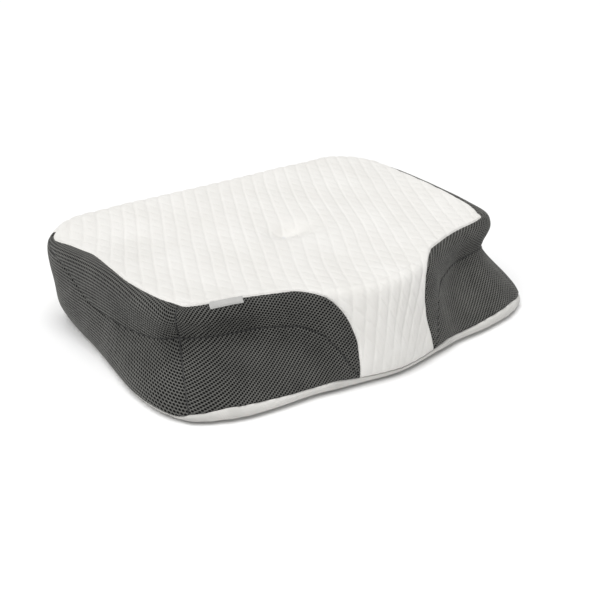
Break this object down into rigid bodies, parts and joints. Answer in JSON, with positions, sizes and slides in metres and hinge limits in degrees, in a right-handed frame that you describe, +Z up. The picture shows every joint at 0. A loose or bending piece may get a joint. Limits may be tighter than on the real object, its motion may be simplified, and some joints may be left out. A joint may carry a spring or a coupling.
{
  "type": "contoured cervical pillow",
  "caption": "Contoured memory-foam neck pillow with a quilted top, a front tongue, waisted mesh sides and a zipped cover.",
  "frame": {"origin": "middle of the footprint, on the surface that the pillow lies on", "axes": "+X along the width, -Y towards the front with the tongue, +Z up"},
  "size_m": [0.5498, 0.3994, 0.1103],
  "materials": {
    "foam": "slow-recovery polyurethane foam with a moulded skin",
    "liner_knit": "thin plain knit",
    "quilted_knit": "quilted double knit over wadding, soft and matte",
    "bottom_knit": "plain knit, matte",
    "spacer_mesh": "open spacer mesh with a light front yarn over black",
    "zip_tape": "woven polyester tape",
    "zip_teeth": "coiled monofilament teeth",
    "zip_metal": "white lacquer on die-cast zinc",
    "tag_satin": "folded satin ribbon, blank",
    "label_satin": "folded satin ribbon, blank"
  },
  "bodies": {
    "pillow": {"foam_core": "foam", "inner_liner": "liner_knit", "quilted_top": "quilted_knit", "bottom_panel": "bottom_knit", "left_end_upper_mesh": "spacer_mesh", "right_end_upper_mesh": "spacer_mesh", "left_end_lower_mesh": "spacer_mesh", "right_end_lower_mesh": "spacer_mesh", "left_front_upper_mesh": "spacer_mesh", "right_front_upper_mesh": "spacer_mesh", "left_front_lower_mesh": "spacer_mesh", "right_front_lower_mesh": "spacer_mesh", "zip_tape_upper": "zip_tape", "zip_tape_lower": "zip_tape", "zip_coil_upper": "zip_teeth", "zip_coil_lower": "zip_teeth", "zip_top_stops": "zip_metal", "zip_bottom_stop": "zip_metal", "side_tag": "tag_satin", "care_label": "label_satin"},
    "slider": {"zip_slider": "zip_metal"},
    "pull": {"zip_pull": "zip_metal"}
  },
  "joints": [
    {"name": "zip_slide", "type": "slide", "parent": "pillow", "child": "slider", "axis": [-1, 0, 0], "range_m": [0, 0.276]},
    {"name": "pull_hinge", "type": "hinge", "parent": "slider", "child": "pull", "pos_m": [0.1382, 0.19154, 0.03607], "axis": [0, 0.0377, -0.9993], "range_deg": [0, 178]}
  ]
}
